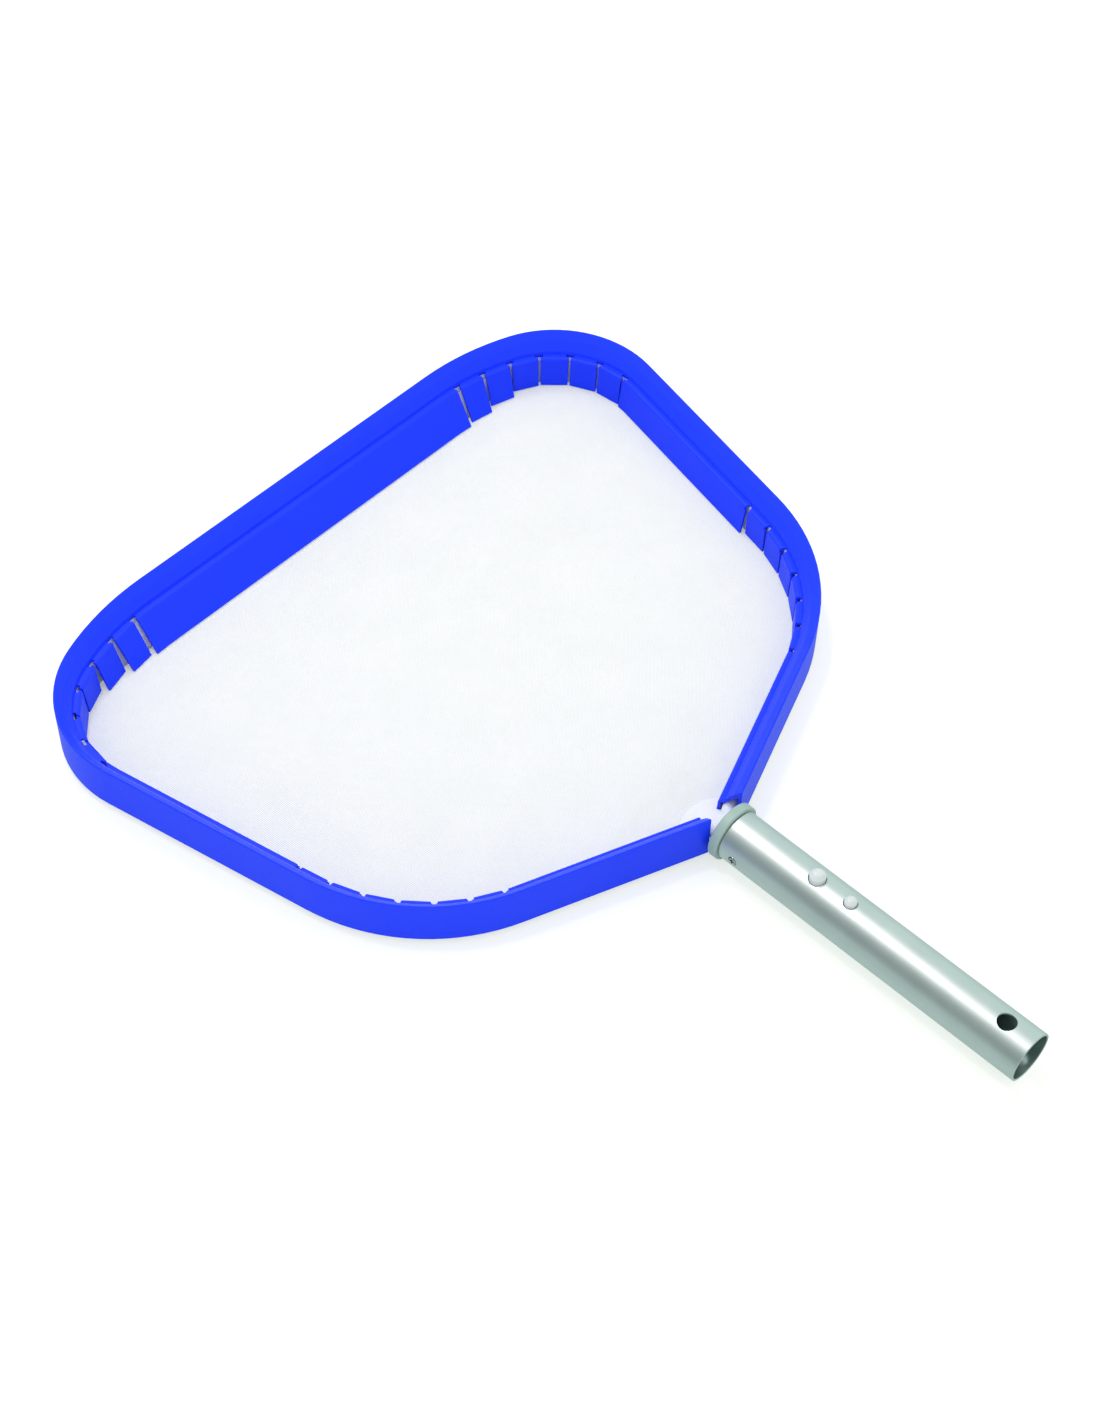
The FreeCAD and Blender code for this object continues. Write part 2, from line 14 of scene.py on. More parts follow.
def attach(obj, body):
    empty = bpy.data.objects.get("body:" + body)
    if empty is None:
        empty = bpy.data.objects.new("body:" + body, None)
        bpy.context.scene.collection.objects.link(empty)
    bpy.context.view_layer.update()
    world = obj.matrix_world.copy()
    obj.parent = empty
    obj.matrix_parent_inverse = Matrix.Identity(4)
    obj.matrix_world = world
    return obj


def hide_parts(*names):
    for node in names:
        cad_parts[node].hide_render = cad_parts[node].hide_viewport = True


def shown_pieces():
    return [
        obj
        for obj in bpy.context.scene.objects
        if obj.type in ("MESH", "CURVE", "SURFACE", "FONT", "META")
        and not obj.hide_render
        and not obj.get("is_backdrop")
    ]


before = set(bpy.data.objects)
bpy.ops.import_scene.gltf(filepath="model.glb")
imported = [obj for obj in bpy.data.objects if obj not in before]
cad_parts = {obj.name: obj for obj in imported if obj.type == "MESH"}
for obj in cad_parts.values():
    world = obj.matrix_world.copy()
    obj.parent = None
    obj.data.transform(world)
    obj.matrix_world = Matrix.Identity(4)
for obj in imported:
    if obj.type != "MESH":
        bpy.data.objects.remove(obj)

MM = 0.001
NOTHING = 0.001 * MM
log = logging.getLogger("leaf_skimmer")

Colour = tuple[float, float, float]


class Body(Enum):
    """Body that the new cloth pieces ride on."""

    SKIMMER = "skimmer"


class Slot(Enum):
    """Names of finish slots for the new cloth pieces; the script does not use them."""

    NET = "mesh_cloth"
    HEM = "hem_cloth"


class Pattern(Enum):
    """Where a finish reads its pattern from."""

    OBJECT = "Object"
    UV = "UV"


class Run(Enum):
    """The net's two sets of threads: their direction, the way they are set out, and their level."""

    ALONG = ((0, 1, 0), (1, 0, 0), 0.5)
    ACROSS = ((1, 0, 0), (0, 1, 0), -0.5)


class HemPart(Enum):
    """The two parts of the hem that run round the whole head."""

    SLEEVE = "hem_sleeve"
    SKIRT = "hem_skirt"


def linear(red: int, green: int, blue: int) -> Colour:
    """Scene-linear colour for a display colour of 0 to 255 per channel.

    Args:
        red: Display red.
        green: Display green.
        blue: Display blue.

    Returns:
        The three linear values.
    """
    def channel(value: int) -> float:
        share = value / 255
        return share / 12.92 if share <= 0.04045 else ((share + 0.055) / 1.055) ** 2.4

    return channel(red), channel(green), channel(blue)


class Graph:
    """Adds and links nodes of one node tree."""

    def __init__(self, tree: bpy.types.NodeTree) -> None:
        """Start on an empty tree.

        Args:
            tree: Tree whose nodes are cleared.
        """
        self.tree = tree
        self.tree.nodes.clear()

    def add(self, kind: str, inputs: dict[Any, Any] | None = None, **settings: Any) -> bpy.types.Node:
        """Add a node.

        Args:
            kind: Blender's name of the node type.
            inputs: Input name or number to a socket to link, or a value to set.
            **settings: Properties of the node itself.

        Returns:
            The new node.
        """
        node = self.tree.nodes.new(kind)
        for name, value in settings.items():
            setattr(node, name, value)
        for key, value in (inputs or {}).items():
            self.feed(node.inputs[key], value)
        return node

    def first(self, kind: str, inputs: dict[Any, Any] | None = None, **settings: Any) -> bpy.types.NodeSocket:
        """Add a node and hand over its first output.

        Args:
            kind: Blender's name of the node type.
            inputs: Input name or number to a socket to link, or a value to set.
            **settings: Properties of the node itself.

        Returns:
            The node's first output.
        """
        return self.add(kind, inputs, **settings).outputs[0]

    def feed(self, socket: bpy.types.NodeSocket, value: Any) -> None:
        """Link or set one input.

        Args:
            socket: The input.
            value: Socket to link, or a value to set. A colour may be given as three numbers.
        """
        if isinstance(value, bpy.types.NodeSocket):
            self.tree.links.new(value, socket)
        elif socket.type == "RGBA" and len(value) == 3:
            socket.default_value = (*value, 1.0)
        else:
            socket.default_value = value

    def math(self, operation: str, *values: Any) -> bpy.types.NodeSocket:
        """Arithmetic on numbers or sockets.

        Args:
            operation: Blender's name of the operation.
            *values: Its operands, in order.

        Returns:
            The result's socket.
        """
        return self.first("ShaderNodeMath", dict(enumerate(values)), operation=operation)

    def vector_math(self, operation: str, *values: Any) -> bpy.types.NodeSocket:
        """Arithmetic on vectors.

        Args:
            operation: Blender's name of the operation.
            *values: Its operands, in order.

        Returns:
            The result's vector socket.
        """
        return self.first("ShaderNodeVectorMath", dict(enumerate(values)), operation=operation)

    def scaled(self, vector: Any, factor: Any) -> bpy.types.NodeSocket:
        """A vector times a number.

        Args:
            vector: Vector or its socket.
            factor: Number or its socket.

        Returns:
            The result's vector socket.
        """
        return self.first("ShaderNodeVectorMath", {0: vector, "Scale": factor}, operation="SCALE")

    def mixed(self, share: bpy.types.NodeSocket, first: Any, second: Any) -> bpy.types.NodeSocket:
        """Blend two colours by a share.

        Args:
            share: Socket from 0 to 1.
            first: Colour or socket at 0.
            second: Colour or socket at 1.

        Returns:
            The blended colour's socket.
        """
        node = self.add("ShaderNodeMix", data_type="RGBA")
        for index, value in ((0, share), (6, first), (7, second)):
            self.feed(node.inputs[index], value)
        return node.outputs[2]


class Finish(Protocol):
    """Anything that can make a material."""

    name: str

    def material(self) -> bpy.types.Material:
        """Make the material."""
        ...


class Surface(Graph):
    """Node graph of one material, ending in a principled shader."""

    def __init__(self, name: str, pattern: Pattern = Pattern.OBJECT) -> None:
        """Make a material with a shader, an output and the pattern's coordinates.

        Args:
            name: Name of the material.
            pattern: Coordinates that the finish's pattern follows.
        """
        self.result = bpy.data.materials.new(name)
        self.result.use_nodes = True
        super().__init__(self.result.node_tree)
        self.shader = self.add("ShaderNodeBsdfPrincipled")
        self.add("ShaderNodeOutputMaterial", {"Surface": self.shader.outputs["BSDF"]})
        self.place = self.add("ShaderNodeTexCoord").outputs[pattern.value]

    def set(self, **values: Any) -> None:
        """Set or link inputs of the shader, with underscores for the spaces in their names."""
        for name, value in values.items():
            self.feed(self.shader.inputs[name.replace("_", " ")], value)

    def stretched(self, scale: tuple[float, float, float]) -> bpy.types.NodeSocket:
        """The pattern's coordinates, scaled per axis."""
        return self.first("ShaderNodeMapping", {"Vector": self.place, "Scale": scale})

    def noise(self, scale: float, detail: float = 2.0,
              place: bpy.types.NodeSocket | None = None) -> bpy.types.NodeSocket:
        """Noise value.

        Args:
            scale: Lumps per metre.
            detail: Octaves of finer noise.
            place: Coordinates, or the pattern's own.

        Returns:
            The noise's value socket.
        """
        inputs = {"Vector": place or self.place, "Scale": scale, "Detail": detail}
        return self.first("ShaderNodeTexNoise", inputs)

    def remap(self, value: bpy.types.NodeSocket, low: float, high: float,
              source: tuple[float, float] = (0.3, 0.7)) -> bpy.types.NodeSocket:
        """Carry a value's usual range over to another.

        Args:
            value: Socket to read.
            low: Result at the low end.
            high: Result at the high end.
            source: The two ends of the value's usual range.

        Returns:
            The remapped value's socket.
        """
        return self.first("ShaderNodeMapRange", {0: value, 1: source[0], 2: source[1], 3: low, 4: high})

    def bump(self, height: bpy.types.NodeSocket, depth: float, strength: float) -> bpy.types.NodeSocket:
        """Relief from a height.

        Args:
            height: Height from 0 to 1.
            depth: Depth of the relief in metres.
            strength: Share of the relief that shows.

        Returns:
            The normal's socket.
        """
        return self.first("ShaderNodeBump", {"Height": height, "Distance": depth, "Strength": strength})


@dataclass(frozen=True)
class ExtrudedPlastic:
    """Glossy coloured plastic pushed through a die: faint die lines along it and soft mottling."""

    name: str
    colour: Colour
    deep: Colour
    roughness: float = 0.42
    line_pitch: float = 0.45 * MM
    line_depth: float = 0.012 * MM
    line_strength: float = 0.6
    line_stretch: float = 0.02
    mottle: float = 0.18
    clouds: float = 28.0
    specks: float = 900.0
    ior: float = 1.28

    def material(self) -> bpy.types.Material:
        """Make the material."""
        surface = Surface(self.name)
        stretched = surface.stretched((self.line_stretch, self.line_stretch, 1.0))
        lines = surface.noise(1 / self.line_pitch, 1.0, stretched)
        tone = surface.remap(surface.noise(self.clouds, 3.0), 0.0, self.mottle)
        specks = surface.noise(self.specks)
        surface.set(
            Base_Color=surface.mixed(tone, self.colour, self.deep),
            Roughness=surface.remap(specks, self.roughness - 0.04, self.roughness + 0.06),
            IOR=self.ior,
            Normal=surface.bump(lines, self.line_depth, self.line_strength),
        )
        return surface.result


@dataclass(frozen=True)
class MouldedPlastic:
    """Plain moulded plastic with a fine eggshell grain."""

    name: str
    colour: Colour
    shade: Colour
    roughness: float = 0.4
    grain: float = 0.35 * MM
    grain_depth: float = 0.01 * MM
    grain_strength: float = 0.5
    mottle: float = 0.35
    clouds: float = 120.0
    ior: float = 1.5

    def material(self) -> bpy.types.Material:
        """Make the material."""
        surface = Surface(self.name)
        grain = surface.noise(1 / self.grain)
        tone = surface.remap(surface.noise(self.clouds), 0.0, self.mottle)
        surface.set(
            Base_Color=surface.mixed(tone, self.colour, self.shade),
            Roughness=surface.remap(grain, self.roughness - 0.05, self.roughness + 0.05),
            IOR=self.ior,
            Normal=surface.bump(grain, self.grain_depth, self.grain_strength),
        )
        return surface.result


@dataclass(frozen=True)
class SatinMetal:
    """Metal with a satin finish: fine lines drawn along the handle and a soft sheen. Its inner wall can take
    painted shade, a darker colour standing in for the shadow inside the tube.
    """

    name: str
    colour: Colour
    shade: Colour
    roughness: float = 0.33
    line_pitch: float = 0.25 * MM
    line_depth: float = 0.004 * MM
    line_strength: float = 0.5
    line_stretch: float = 0.02
    mottle: float = 0.4
    clouds: float = 60.0
    # Colour of painted shade on the tube's inner wall, or none.
    painted_bore_shade: Colour | None = None
    bore_radius: float = 13.0 * MM
    axis_height: float = 16.8 * MM

    def inside(self, surface: Surface) -> bpy.types.NodeSocket:
        """Share from 0 on the outside to 1 on the wall of the hollow along the handle's axis, where painted
        shade darkens the metal.
        """
        axes = surface.add("ShaderNodeSeparateXYZ", {0: surface.place}).outputs
        high = surface.math("SUBTRACT", axes[2], self.axis_height)
        square = surface.math("MULTIPLY_ADD", high, high, surface.math("MULTIPLY", axes[0], axes[0]))
        ends = (self.bore_radius + 0.1 * MM, self.bore_radius + 0.3 * MM)
        return surface.remap(surface.math("SQRT", square), 1.0, 0.0, ends)

    def material(self) -> bpy.types.Material:
        """Make the material."""
        surface = Surface(self.name)
        lines = surface.noise(1 / self.line_pitch, place=surface.stretched((1.0, self.line_stretch, 1.0)))
        cloud = surface.remap(surface.noise(self.clouds, 3.0), 0.0, self.mottle)
        tone = surface.mixed(cloud, self.colour, self.shade)
        # Painted shade: the tube's inner wall is darkened as if in shadow.
        if self.painted_bore_shade is not None:
            tone = surface.mixed(self.inside(surface), tone, self.painted_bore_shade)
        surface.set(
            Base_Color=tone,
            Metallic=1.0,
            Roughness=surface.remap(lines, self.roughness - 0.04, self.roughness + 0.05),
            Normal=surface.bump(lines, self.line_depth, self.line_strength),
        )
        return surface.result


@dataclass(frozen=True)
class NetThread:
    """White nylon thread: faint twist, slight yellowing here and there, a soft sheen."""

    name: str
    colour: Colour
    shade: Colour
    roughness: float = 0.55
    mottle: float = 0.5
    clouds: float = 30.0
    twist: float = 0.25 * MM
    twist_depth: float = 0.02 * MM
    twist_strength: float = 0.5
    sheen: float = 0.15

    def material(self) -> bpy.types.Material:
        """Make the material."""
        surface = Surface(self.name)
        tone = surface.remap(surface.noise(self.clouds, 3.0), 0.0, self.mottle)
        twist = surface.noise(1 / self.twist, 1.0)
        surface.set(
            Base_Color=surface.mixed(tone, self.colour, self.shade),
            Roughness=self.roughness,
            Normal=surface.bump(twist, self.twist_depth, self.twist_strength),
            Sheen_Weight=self.sheen,
        )
        return surface.result


@dataclass(frozen=True)
class WovenHem:
    """Doubled net seen as cloth: a plain weave along and round the sleeve, with painted shade in the gaps
    between the threads.
    """

    name: str
    colour: Colour
    gap_shade_and_mottle: Colour
    pitch: float = 1.05 * MM
    relief: float = 0.12 * MM
    relief_strength: float = 0.8
    crossing_height: float = 0.25
    ridge: tuple[float, float] = (0.55, 0.95)
    mottle: float = 0.15
    clouds: float = 400.0
    roughness: float = 0.6
    sheen: float = 0.2

    def material(self) -> bpy.types.Material:
        """Make the material."""
        surface = Surface(self.name, Pattern.UV)
        axes = surface.add("ShaderNodeSeparateXYZ", {0: surface.place}).outputs
        turns = [surface.math("MULTIPLY", axis, math.pi / self.pitch) for axis in axes[:2]]
        ridges = [surface.math("ABSOLUTE", surface.math("SINE", turn)) for turn in turns]
        weave = surface.math("MAXIMUM", *ridges)
        crossing = surface.math("MULTIPLY", *[surface.math("SINE", turn) for turn in turns])
        height = surface.math("MULTIPLY_ADD", crossing, self.crossing_height, weave)
        cloud = surface.remap(surface.noise(self.clouds), 0.0, self.mottle)
        # Painted shade: the gaps between threads take the darker gap colour.
        tone = surface.mixed(surface.remap(weave, 0.0, 1.0, self.ridge), self.gap_shade_and_mottle, self.colour)
        surface.set(
            # Random clouds mix the weave toward the same darker colour as uneven tone.
            Base_Color=surface.mixed(cloud, tone, self.gap_shade_and_mottle),
            Roughness=self.roughness,
            Normal=surface.bump(height, self.relief, self.relief_strength),
            Sheen_Weight=self.sheen,
        )
        return surface.result


@dataclass(frozen=True)
class Stretch:
    """One straight or round stretch of the head's outer edge, seen from above.

    The heading is in degrees, clockwise from +X. A positive radius bends to the inside of
    the head, and a zero radius is a straight stretch.
    """

    start: Vector
    heading: float
    length: float = 0.0
    radius: float = 0.0
    turn: float = 0.0

    def at(self, share: float, inset: float = 0.0) -> Vector:
        """Point a share of the way along, moved to the inside by an inset."""
        if not self.radius:
            angle = math.radians(self.heading)
            step = Vector((math.cos(angle), -math.sin(angle), 0)) * (self.length * share)
            return self.start + step + inward(self.heading) * inset
        heading = self.heading + self.turn * share
        centre = self.start + inward(self.heading) * self.radius
        return centre - inward(heading) * (self.radius - inset)

    def span(self, inset: float = 0.0) -> float:
        """Length of the line that runs at an inset."""
        if self.radius:
            return abs((self.radius - inset) * math.radians(self.turn))
        return self.length


def inward(heading: float) -> Vector:
    """Unit vector to the inside of the head for a heading."""
    angle = math.radians(heading)
    return Vector((-math.sin(angle), -math.cos(angle), 0))


@dataclass
class HeadOutline:
    """Line of the head's outer shoulder, in metres, and the lines that run inside it."""

    front_y: float = 266.9 * MM
    apex_y: float = -73.1 * MM
    collar_y: float = -70.6 * MM
    side_half_width: float = 171.8 * MM
    side_taper: float = 12.48
    rear_slope: float = 21.18
    front_bend_radius: float = 163.2 * MM
    front_bend_turn: float = 21.43
    front_corner_radius: float = 66.5 * MM
    rear_corner_radius: float = 118.4 * MM
    leg_spacing: float = 12.0 * MM
    leg_bend_radius: float = 6.5 * MM
    leg_heading: float = 90
    step: float = 2.5 * MM

    def stretches(self) -> list[Stretch]:
        """Right half, from the middle of the front edge to the rear apex."""
        first = math.radians(self.front_bend_turn)
        side_heading = 90 + self.side_taper
        whole = math.radians(side_heading)
        out = self.front_bend_radius * math.sin(first)
        out += self.front_corner_radius * (math.sin(whole) - math.sin(first))
        back = self.front_bend_radius * (1 - math.cos(first))
        back += self.front_corner_radius * (math.cos(first) - math.cos(whole))
        taper = math.tan(math.radians(self.side_taper))
        bend_x = self.side_half_width + taper * (self.front_y - back) - out
        front = Stretch(Vector((0, self.front_y, 0)), 0, bend_x)
        bend = Stretch(front.at(1), 0, 0, self.front_bend_radius, self.front_bend_turn)
        turn = side_heading - self.front_bend_turn
        corner = Stretch(bend.at(1), self.front_bend_turn, 0, self.front_corner_radius, turn)
        rise = math.tan(math.radians(self.rear_slope))
        meet_y = (self.apex_y + rise * self.side_half_width) / (1 - rise * taper)
        meet = Vector((self.side_half_width + taper * meet_y, meet_y, 0))
        rear_heading = 180 - self.rear_slope
        rear_turn = rear_heading - side_heading
        trim = self.rear_corner_radius * math.tan(math.radians(rear_turn / 2))
        side = Stretch(corner.at(1), side_heading, (meet - corner.at(1)).length - trim)
        rear_corner = Stretch(side.at(1), side_heading, 0, self.rear_corner_radius, rear_turn)
        rear_length = rear_corner.at(1).x / math.cos(math.radians(self.rear_slope))
        rear = Stretch(rear_corner.at(1), rear_heading, rear_length)
        return [front, bend, corner, side, rear_corner, rear]

    def points(self, stretches: Iterable[Stretch], inset: float) -> list[Vector]:
        """Points along stretches at an inset, a step apart in the bends.

        Args:
            stretches: Stretches in order.
            inset: Distance to the inside of the outer shoulder.

        Returns:
            Points from the first stretch's start to the last one's end.
        """
        found: list[Vector] = []
        for stretch in stretches:
            count = max(1, math.ceil(stretch.span(inset) / self.step))
            shares = [index / count for index in range(count + 1)]
            found += [stretch.at(share, inset) for share in shares[bool(found):]]
        return found

    def rear_y(self, across: float, inset: float) -> float:
        """Place along the handle's axis of a line inside the rear edge, at a distance across."""
        slope = math.radians(self.rear_slope)
        return self.apex_y + across * math.tan(slope) + inset / math.cos(slope)

    def around(self, inset: float, rise: "Rise") -> list[Vector]:
        """Closed line round the head that steps inside the flange where the net rises.

        Args:
            inset: Distance to the inside of the outer shoulder.
            rise: Shape of the rising net.

        Returns:
            Points of the closed line, clockwise from the middle of the front edge.
        """
        half = [point for point in self.points(self.stretches(), inset)[:-1] if point.x > NOTHING]
        half.append(Vector((rise.from_x, self.rear_y(rise.from_x, inset), 0)))
        for across in (rise.from_x - rise.step_in, rise.edge_x):
            half.append(Vector((across, self.rear_y(across, rise.inset), 0)))
        middle = Vector((0, rise.edge_y, 0))
        return half + [middle] + [Vector((-point.x, point.y, 0)) for point in reversed(half)]

    def rod_line(self, inset: float) -> list[Vector]:
        """The rod's middle line, from the left leg round the head to the right leg.

        Args:
            inset: Distance of the rod's middle from the outer shoulder.

        Returns:
            Points at height zero.
        """
        stretches = self.stretches()
        rear = stretches.pop()
        half = self.points(stretches, inset)
        start = rear.at(0, inset)
        bend_turn = self.leg_heading - self.rear_slope
        trim = self.leg_bend_radius * math.tan(math.radians(bend_turn / 2))
        reach = (start.x - self.leg_spacing / 2) / math.cos(math.radians(self.rear_slope)) - trim
        straight = Stretch(start, rear.heading, reach)
        bend = Stretch(straight.at(1), rear.heading, 0, -self.leg_bend_radius, -bend_turn)
        leg = Stretch(bend.at(1), self.leg_heading, bend.at(1).y - self.collar_y)
        half += self.points([straight, bend], 0)[1:] + [leg.at(1)]
        return [Vector((-point.x, point.y, 0)) for point in reversed(half[1:])] + half

    def rim_line(self, inset: float, end_x: float) -> list[Vector]:
        """Line at an inset that stops at the rim's two open ends.

        Args:
            inset: Distance to the inside of the outer shoulder.
            end_x: Distance of the rim's ends from the middle plane.

        Returns:
            Points from the left end round the head to the right end.
        """
        half = self.points(self.stretches(), inset)
        while half[-2].x < end_x:
            half.pop()
        start, last = half[-2:]
        half[-1] = start.lerp(last, (start.x - end_x) / (start.x - last.x))
        return [Vector((-point.x, point.y, 0)) for point in reversed(half[1:])] + half


def close_poles(mesh: bpy.types.Mesh) -> None:
    """Merge the points that a row drew together at one place.

    Args:
        mesh: Mesh to close.
    """
    shell = bmesh.new()
    shell.from_mesh(mesh)
    bmesh.ops.remove_doubles(shell, verts=shell.verts, dist=NOTHING)
    shell.to_mesh(mesh)
    shell.free()


@dataclass
class Rise:
    """How the cloth rises off the floor toward the rod's legs, between the rim's ends."""

    centre_y: float = -66.9 * MM
    reach: float = 45.0 * MM
    slope: float = 0.38
    narrowing: float = 0.7
    limit: float = 9.4 * MM
    inset: float = 13.1 * MM
    from_x: float = 56.0 * MM
    step_in: float = 3.0 * MM
    edge_x: float = 17.0 * MM
    edge_y: float = -47.0 * MM
    drape: float = 3.4 * MM
    drape_width: float = 6.5 * MM
    drape_from: float = 2.0 * MM

    def height(self, x: float, y: float) -> float:
        """Height of the doubled cloth over a point."""
        far = math.hypot(x * self.narrowing, y - self.centre_y)
        drape = self.drape * math.exp(-(((far - self.drape_from) / self.drape_width) ** 2))
        return self.slope * max(0.0, self.reach - far) + drape


def line_mesh(name: str, points: list[Vector], closed: bool = False) -> bpy.types.Mesh:
    """Mesh of one chain of edges, or of one face where it is closed.

    Args:
        name: Name of the mesh.
        points: Its points in order.
        closed: Whether it is filled with one face.

    Returns:
        The mesh.
    """
    mesh = bpy.data.meshes.new(name)
    edges = [] if closed else [(index, index + 1) for index in range(len(points) - 1)]
    faces = [tuple(range(len(points)))] if closed else []
    mesh.from_pydata(points, edges, faces)
    return mesh


class Recipe(Graph):
    """Geometry node tree with named inputs, that ends in plain faces with a material."""

    def __init__(self, name: str, sizes: dict[str, float | int]) -> None:
        """Make the tree and its interface.

        Args:
            name: Name of the tree.
            sizes: Named inputs and their values. Whole numbers become whole-number inputs.
        """
        super().__init__(bpy.data.node_groups.new(name, "GeometryNodeTree"))
        self.sizes = sizes
        face = self.tree.interface
        face.new_socket("Geometry", in_out="INPUT", socket_type="NodeSocketGeometry")
        self.idents: dict[str, str] = {}
        for label, value in sizes.items():
            kind = "NodeSocketInt" if isinstance(value, int) else "NodeSocketFloat"
            self.idents[label] = face.new_socket(label, in_out="INPUT", socket_type=kind).identifier
        face.new_socket("Geometry", in_out="OUTPUT", socket_type="NodeSocketGeometry")
        self.inputs = self.add("NodeGroupInput").outputs

    def end(self, geometry: bpy.types.NodeSocket, material: bpy.types.Material) -> None:
        """Close the tree.

        Args:
            geometry: Geometry to hand over.
            material: Finish of every face.
        """
        real = self.add("GeometryNodeRealizeInstances", {"Geometry": geometry}).outputs[0]
        dressed = self.add("GeometryNodeSetMaterial", {"Geometry": real, "Material": material}).outputs[0]
        self.add("NodeGroupOutput", {"Geometry": dressed})

    def make(self, name: str, base: bpy.types.Mesh) -> bpy.types.Object:
        """Run the tree on a base mesh and keep the result as a plain mesh.

        Args:
            name: Name of the piece.
            base: Mesh that the tree starts from.

        Returns:
            The piece's object, at the origin.
        """
        carrier = bpy.data.objects.new(name + "_base", base)
        bpy.context.scene.collection.objects.link(carrier)
        modifier = carrier.modifiers.new(self.tree.name, "NODES")
        modifier.node_group = self.tree
        for label, value in self.sizes.items():
            modifier[self.idents[label]] = value
        evaluated = carrier.evaluated_get(bpy.context.evaluated_depsgraph_get())
        mesh = bpy.data.meshes.new_from_object(evaluated)
        mesh.name = name
        bpy.data.objects.remove(carrier)
        piece = bpy.data.objects.new(name, mesh)
        bpy.context.scene.collection.objects.link(piece)
        return piece


@dataclass
class WovenNet:
    """The stretched net: single threads across and along the head, clipped to its border."""

    outline: HeadOutline
    finish: NetThread
    rise: Rise
    inset: float = 10.4 * MM
    pitch: float = 1.05 * MM
    thread: float = 0.3 * MM
    thread_sides: int = 4
    middle_height: float = 0.32 * MM
    crossing: float = 0.7
    wander: float = 0.12 * MM
    wander_gain: float = 6.0
    wander_scale: float = 22.0
    half_width: float = 0.21
    middle_y: float = 97.7 * MM
    segment: float = 9.5 * MM
    fence_depth: float = 0.01
    search: float = 0.4
    seed: int = 7

    def recipe(self) -> Recipe:
        """Threads laid at the pitch, cut where they meet the border, and wandering a little."""
        recipe = Recipe("woven_net", {
            "Pitch": self.pitch,
            "Thread diameter": self.thread,
            "Middle height": self.middle_height,
            "Wander": self.wander,
            "Half width": self.half_width,
            "Head middle": self.middle_y,
            "Segment": self.segment,
            "Rise centre": self.rise.centre_y,
            "Rise reach": self.rise.reach,
            "Rise slope": self.rise.slope,
            "Rise narrowing": self.rise.narrowing,
            "Rise limit": self.rise.limit,
            "Seed": self.seed,
        })
        fence = self.fence(recipe)
        joined = recipe.add("GeometryNodeJoinGeometry")
        for run in Run:
            along, across, level = run.value
            curves = self.cut(recipe, fence, self.starts(recipe, across), along)
            threads = self.threads(recipe, self.settled(recipe, curves, level))
            recipe.tree.links.new(threads, joined.inputs[0])
        recipe.end(joined.outputs[0], self.finish.material())
        return recipe

    def fence(self, recipe: Recipe) -> bpy.types.NodeSocket:
        """Upright wall along the border, which the threads are cut by."""
        first = recipe.first
        face = {"Geometry": recipe.inputs["Geometry"], "Translation": (0, 0, -self.fence_depth)}
        lowered = first("GeometryNodeTransform", face)
        edges = first("GeometryNodeDeleteGeometry", {"Geometry": lowered}, domain="FACE", mode="ONLY_FACE")
        upward = first("ShaderNodeCombineXYZ", {"Z": 2 * self.fence_depth})
        return first("GeometryNodeExtrudeMesh", {"Mesh": edges, "Offset": upward}, mode="EDGES")

    def starts(self, recipe: Recipe, across: tuple[int, int, int]) -> bpy.types.NodeSocket:
        """Points a pitch apart across the head, one for each thread.

        Args:
            recipe: The net's tree.
            across: Way that the points are set out.

        Returns:
            Socket of the row of points.
        """
        inputs, math_of = recipe.inputs, recipe.math
        count = math_of("DIVIDE", math_of("MULTIPLY", inputs["Half width"], 2.0), inputs["Pitch"])
        middle = recipe.first("ShaderNodeCombineXYZ", {"Y": inputs["Head middle"]})
        back = recipe.scaled(across, math_of("MULTIPLY", inputs["Half width"], -1.0))
        return recipe.first("GeometryNodeMeshLine", {
            "Count": count,
            "Start Location": recipe.vector_math("ADD", back, middle),
            "Offset": recipe.scaled(across, inputs["Pitch"]),
        }, mode="OFFSET")

    def cut(self, recipe: Recipe, fence: bpy.types.NodeSocket, starts: bpy.types.NodeSocket,
            along: tuple[int, int, int]) -> bpy.types.NodeSocket:
        """Curves through the points, from border to border.

        Args:
            recipe: The net's tree.
            fence: Socket of the wall along the border.
            starts: Socket of the row of points.
            along: Direction of the threads.

        Returns:
            Socket of the curves.
        """
        first = recipe.first
        place = first("GeometryNodeInputPosition")
        ends = {}
        for name, side in (("far_end", 1.0), ("near_end", -1.0)):
            outside = tuple(side * self.search * value for value in along)
            ends[name] = recipe.add("GeometryNodeRaycast", {
                "Target Geometry": fence,
                "Source Position": recipe.vector_math("ADD", place, outside),
                "Ray Direction": tuple(-side * value for value in along),
                "Ray Length": 2 * self.search,
            }).outputs
        hits = {index: end["Is Hit"] for index, end in enumerate(ends.values())}
        missed = first("FunctionNodeBooleanMath", hits, operation="NAND")
        kept = starts
        for name, end in ends.items():
            stored = {"Geometry": kept, "Name": name, "Value": end["Hit Position"]}
            kept = first("GeometryNodeStoreNamedAttribute", stored, data_type="FLOAT_VECTOR")
        kept = first("GeometryNodeDeleteGeometry", {"Geometry": kept, "Selection": missed}, domain="POINT")
        loose = first("GeometryNodeDeleteGeometry", {"Geometry": kept}, domain="EDGE", mode="EDGE_FACE")
        read = [{"Name": name} for name in ends]
        far_end, near_end = (
            first("GeometryNodeInputNamedAttribute", name, data_type="FLOAT_VECTOR") for name in read
        )
        moved = first("GeometryNodeSetPosition", {"Geometry": loose, "Position": near_end})
        reach = recipe.vector_math("SUBTRACT", far_end, near_end)
        spun = first("GeometryNodeExtrudeMesh", {"Mesh": moved, "Offset": reach}, mode="VERTICES")
        curves = first("GeometryNodeMeshToCurve", {"Mesh": spun})
        pieces = {"Curve": curves, "Length": recipe.inputs["Segment"]}
        return first("GeometryNodeResampleCurve", pieces, mode="LENGTH")

